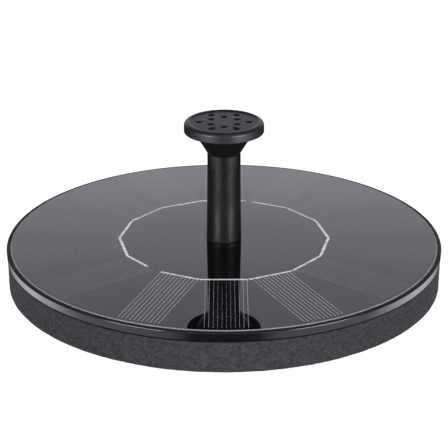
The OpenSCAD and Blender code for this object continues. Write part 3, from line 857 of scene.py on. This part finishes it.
# The floor's own glow rises between these Y places, from one level to the other
GLOW_Y = (-0.12, 0.1)
GLOW_LEVEL = (0.05, 0.6)
FLOOR_HALF = 12
FLOOR_GAP = 0.2 * MM


def distance_along_floor(tree, axes):
    """How far a point of the floor is from the object's axis."""
    length = tree.nodes.new("ShaderNodeVectorMath")
    length.operation = "LENGTH"
    tree.links.new(axes.inputs["Vector"].links[0].from_socket, length.inputs[0])
    return length.outputs["Value"]


def floor_gloss(tree, axes):
    """Strength for glossy rays: a painted reflection, a bright ring glowing in the floor around the
    object, open towards the camera.
    """
    aside = combine(tree, axes.outputs["X"], 0, "ABSOLUTE")
    away = combine(tree, axes.outputs["Y"], -1)
    bearing = combine(tree, combine(tree, aside, away, "ARCTAN2"), 1 / math.pi)
    node = tree.nodes.new("ShaderNodeValToRGB")
    tree.links.new(bearing, node.inputs["Fac"])
    elements = node.color_ramp.elements
    while len(elements) < len(FLOOR_GLOSS):
        elements.new(0.5)
    for element, (degrees, level) in zip(elements, FLOOR_GLOSS):
        element.position = degrees / 180
        element.color = (*[level / GLOSS_PEAK] * 3, 1)
    reach = distance_along_floor(tree, axes)
    near = smooth_step(tree, reach, *REFLECTION_RING_END, GLOSS_PEAK, GLOSS_PEAK * 0.05)
    # Painted shade: the floor's glow to glossy rays falls to a tenth under the disc's edge
    shade = smooth_step(tree, reach, *REFLECTION_RING_START, 0.1, 1.0)
    return combine(tree, combine(tree, node.outputs["Color"], near), shade)


def make_floor():
    """A pale floor to the camera. To other rays it glows by place, with a painted shadow under the disc,
    and glossy ones see a painted reflection ring in it.
    """
    bm = bmesh.new()
    bmesh.ops.create_grid(bm, x_segments=8, y_segments=8, size=FLOOR_HALF)
    floor = finish_mesh(bm, "floor")
    floor.location.z = cad_low.z - FLOOR_GAP
    material = bpy.data.materials.new("floor_white")
    material.use_nodes = True
    tree = material.node_tree
    tree.nodes.remove(tree.nodes["Principled BSDF"])
    output = tree.nodes["Material Output"]
    coords = tree.nodes.new("ShaderNodeTexCoord")
    axes = tree.nodes.new("ShaderNodeSeparateXYZ")
    tree.links.new(coords.outputs["Object"], axes.inputs["Vector"])
    path = tree.nodes.new("ShaderNodeLightPath")
    side = tree.nodes.new("ShaderNodeNewGeometry")

    glow = tree.nodes.new("ShaderNodeEmission")
    behind = smooth_step(tree, axes.outputs["Y"], *GLOW_Y, *GLOW_LEVEL)
    reach = distance_along_floor(tree, axes)
    # Painted shadow: the floor's glow to other rays fades out under the disc, which darkens the foam's
    # lower edge
    outside_painted_shadow = smooth_step(tree, reach, *GLOW_START, 0.0, 1.0)
    under = smooth_step(tree, reach, *UNDERLIGHT_END, UNDERLIGHT, 0.0)
    open_floor = combine(tree, behind, outside_painted_shadow)
    tree.links.new(combine(tree, open_floor, under, "ADD"), glow.inputs["Strength"])
    # Painted reflection: a bright ring glowing in the floor that only glossy rays see
    painted_reflection_glow = tree.nodes.new("ShaderNodeEmission")
    painted_reflection_glow.inputs["Color"].default_value = (0.95, 0.975, 1.06, 1)
    tree.links.new(combine(tree, floor_gloss(tree, axes), under, "ADD"), painted_reflection_glow.inputs["Strength"])
    seen = tree.nodes.new("ShaderNodeEmission")
    seen.inputs["Strength"].default_value = 0.9
    paper = tree.nodes.new("ShaderNodeBsdfDiffuse")
    paper.inputs["Color"].default_value = (0.3, 0.3, 0.3, 1)
    both = tree.nodes.new("ShaderNodeAddShader")
    tree.links.new(seen.outputs[0], both.inputs[0])
    tree.links.new(paper.outputs[0], both.inputs[1])
    clear = tree.nodes.new("ShaderNodeBsdfTransparent")
    shown = share(tree, side.outputs["Backfacing"], both.outputs[0], clear.outputs[0])
    lit = share(tree, path.outputs["Is Glossy Ray"], glow.outputs[0], painted_reflection_glow.outputs[0])
    tree.links.new(share(tree, path.outputs["Is Camera Ray"], lit, shown), output.inputs["Surface"])
    floor.data.materials.append(material)


# All lamps stand at one distance from the axis and face a point about halfway up the tube
LAMP_AIM_Z = 0.05
LAMP_DISTANCE = 1.0


def soft_box(name, azimuth, height, width, tall, watts, in_gloss):
    """A soft box that faces the tube. Azimuth is from the camera's side, positive to the right.

    It is hidden from the camera, and from glossy surfaces too unless in_gloss is true.
    """
    data = bpy.data.lights.new(name, "AREA")
    data.shape = "RECTANGLE"
    data.size = width
    data.size_y = tall
    data.energy = watts
    lamp = bpy.data.objects.new(name, data)
    bpy.context.scene.collection.objects.link(lamp)
    turn = math.radians(azimuth)
    lamp.location = (LAMP_DISTANCE * math.sin(turn), -LAMP_DISTANCE * math.cos(turn), height)
    aim = Vector((0, 0, LAMP_AIM_Z)) - lamp.location
    lamp.rotation_euler = aim.to_track_quat("-Z", "Y").to_euler()
    lamp.visible_camera = False
    lamp.visible_glossy = in_gloss


# Where the camera stands: away from the axis on the -Y side, above the panel's face, looking down
CAMERA_BACK = 0.5624
CAMERA_RISE = 0.2351
CAMERA_DOWN_DEG = 22.204


def make_camera():
    """A long lens from the -Y side, which looks down on the disc."""
    data = bpy.data.cameras.new("camera")
    data.lens = 132.2
    data.sensor_width = 36
    camera = bpy.data.objects.new("camera", data)
    bpy.context.scene.collection.objects.link(camera)
    camera.location = (0, -CAMERA_BACK, TOP_Z + CAMERA_RISE)
    camera.rotation_euler = (math.radians(90 - CAMERA_DOWN_DEG), 0, 0)
    data.clip_start = 0.01
    data.clip_end = 50
    bpy.context.scene.camera = camera


make_camera()
make_world()
make_floor()
# High fills light matte surfaces only, and low boxes make the highlights along the tube
soft_box("left_fill", -43, 0.6, 0.5, 1.1, 9, False)
soft_box("right_fill", 47, 0.6, 0.5, 1.1, 9, False)
soft_box("left_box", -43, 0.1, 0.5, 0.18, 9.5, True)
soft_box("right_box", 47, 0.1, 0.5, 0.18, 11, True)
bpy.context.scene.view_settings.view_transform = "Standard"
